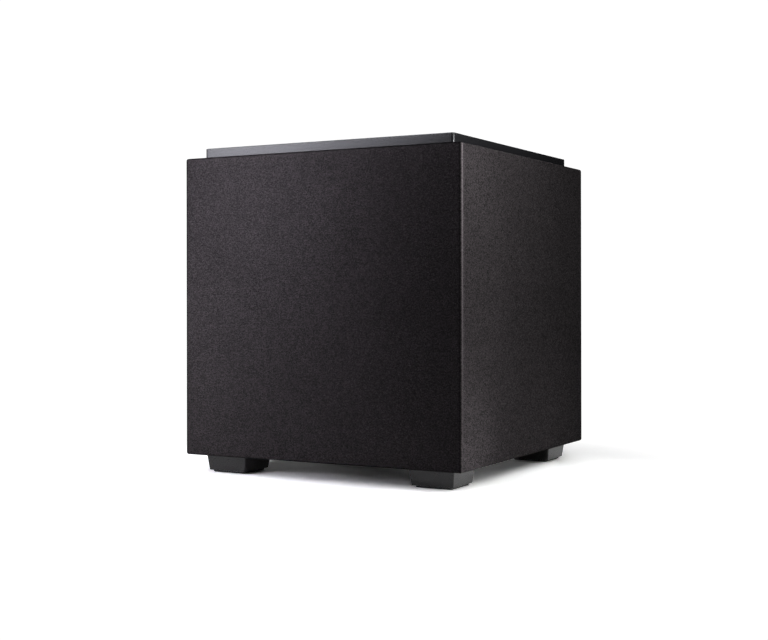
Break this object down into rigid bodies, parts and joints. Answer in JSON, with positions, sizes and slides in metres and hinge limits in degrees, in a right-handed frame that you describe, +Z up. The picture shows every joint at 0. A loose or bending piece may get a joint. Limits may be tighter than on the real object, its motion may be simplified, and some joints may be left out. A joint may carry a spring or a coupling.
{
  "type": "powered subwoofer",
  "caption": "Cloth-covered cube powered subwoofer on tapered square feet, with an inset top plate, a front woofer, side passive radiators and a rear amplifier plate.",
  "frame": {"origin": "under the middle of the bounding box, on the surface the pads stand on", "axes": "+Z up, the woofer and the front cloth face -Y, the amplifier plate faces +Y"},
  "size_m": [0.35, 0.368, 0.373],
  "materials": {
    "painted_board": "satin black paint over fibreboard",
    "woven_cloth": "fine charcoal knitted speaker cloth",
    "satin_plate": "smooth satin, dark blue-grey",
    "moulded_black": "fine moulded texture",
    "soft_rubber": "matt",
    "cone_paper": "pressed fibre, matt",
    "cast_frame": "black powder coat over casting",
    "plated_steel": "zinc plated",
    "ferrite": "matt sintered",
    "copper_wire": "enamelled copper wire",
    "former_film": "amber film",
    "spider_cloth": "resin-treated corrugated cloth",
    "terminal_brass": "tinned blades",
    "amp_metal": "black satin powder coat",
    "circuit_board": "green solder mask",
    "winding_tape": "tape-wrapped winding over a steel core",
    "can_sleeve": "dark plastic sleeve over a can",
    "fin_metal": "plain extrusion",
    "pot_metal": "plated",
    "switch_white": "pale lever",
    "jack_moulding": "moulded",
    "light_lens": "tinted lens",
    "lead_jacket": "two-core jacket"
  },
  "bodies": {
    "cabinet": {"cabinet_top": "painted_board", "cabinet_bottom": "painted_board", "cabinet_left": "painted_board", "cabinet_right": "painted_board", "front_baffle": "painted_board", "back_panel": "painted_board", "internal_brace": "painted_board", "cloth_front": "woven_cloth", "cloth_left": "woven_cloth", "cloth_right": "woven_cloth", "cloth_back": "woven_cloth", "grille_frame_front": "moulded_black", "grille_frame_left": "moulded_black", "grille_frame_right": "moulded_black", "top_plate": "satin_plate", "foot_front_left": "moulded_black", "foot_pad_front_left": "soft_rubber", "foot_front_right": "moulded_black", "foot_pad_front_right": "soft_rubber", "foot_rear_left": "moulded_black", "foot_pad_rear_left": "soft_rubber", "foot_rear_right": "moulded_black", "foot_pad_rear_right": "soft_rubber", "woofer_basket": "cast_frame", "passive_frame_left": "cast_frame", "passive_frame_right": "cast_frame", "woofer_surround": "soft_rubber", "passive_surround_left": "soft_rubber", "passive_surround_right": "soft_rubber", "woofer_spider": "spider_cloth", "motor_front_plate": "plated_steel", "motor_yoke": "plated_steel", "motor_magnet": "ferrite", "woofer_terminals": "terminal_brass", "amp_plate": "amp_metal", "amp_board": "circuit_board", "power_transformer": "winding_tape", "heat_sink": "fin_metal", "filter_capacitor": "can_sleeve", "volume_pot": "pot_metal", "crossover_pot": "pot_metal", "power_switch_body": "moulded_black", "mains_inlet": "moulded_black", "rca_jacks": "jack_moulding", "status_light": "light_lens", "woofer_lead": "lead_jacket"},
    "woofer_moving": {"woofer_cone": "cone_paper", "woofer_dust_cap": "cone_paper", "voice_coil_former": "former_film", "voice_coil_winding": "copper_wire"},
    "passive_left": {"passive_cone_left": "cone_paper", "passive_weight_left": "plated_steel"},
    "passive_right": {"passive_cone_right": "cone_paper", "passive_weight_right": "plated_steel"},
    "volume_knob": {"volume_knob": "moulded_black"},
    "crossover_knob": {"crossover_knob": "moulded_black"},
    "phase_switch": {"phase_switch": "switch_white"},
    "auto_switch": {"auto_switch": "switch_white"},
    "power_rocker": {"power_rocker": "moulded_black"},
    "fuse_drawer": {"fuse_drawer": "moulded_black"}
  },
  "joints": [
    {"name": "woofer_travel", "type": "slide", "parent": "cabinet", "child": "woofer_moving", "axis": [0, -1, 0], "range_m": [-0.012, 0.012], "stiffness_N_per_m": 3000, "deforming": ["woofer_surround", "woofer_spider"]},
    {"name": "passive_left_travel", "type": "slide", "parent": "cabinet", "child": "passive_left", "axis": [-1, 0, 0], "range_m": [-0.006, 0.006], "stiffness_N_per_m": 1500, "deforming": ["passive_surround_left"]},
    {"name": "passive_right_travel", "type": "slide", "parent": "cabinet", "child": "passive_right", "axis": [1, 0, 0], "range_m": [-0.006, 0.006], "stiffness_N_per_m": 1500, "deforming": ["passive_surround_right"]},
    {"name": "volume_turn", "type": "hinge", "parent": "cabinet", "child": "volume_knob", "pos_m": [-0.045, 0.1693, 0.269], "axis": [0, 1, 0], "range_deg": [-150, 150]},
    {"name": "crossover_turn", "type": "hinge", "parent": "cabinet", "child": "crossover_knob", "pos_m": [0.045, 0.1693, 0.269], "axis": [0, 1, 0], "range_deg": [-150, 150]},
    {"name": "phase_slide", "type": "slide", "parent": "cabinet", "child": "phase_switch", "axis": [1, 0, 0], "range_m": [0, 0.004]},
    {"name": "auto_slide", "type": "slide", "parent": "cabinet", "child": "auto_switch", "axis": [1, 0, 0], "range_m": [0, 0.004]},
    {"name": "power_rock", "type": "hinge", "parent": "cabinet", "child": "power_rocker", "pos_m": [0.05, 0.1693, 0.099], "axis": [-1, 0, 0], "range_deg": [0, 14]},
    {"name": "fuse_drawer_slide", "type": "slide", "parent": "cabinet", "child": "fuse_drawer", "axis": [0, 1, 0], "range_m": [0, 0.016]}
  ],
  "couplings": [
    {"joint": "passive_left_travel", "follows": "woofer_travel", "ratio": -0.5},
    {"joint": "passive_right_travel", "follows": "woofer_travel", "ratio": -0.5}
  ]
}
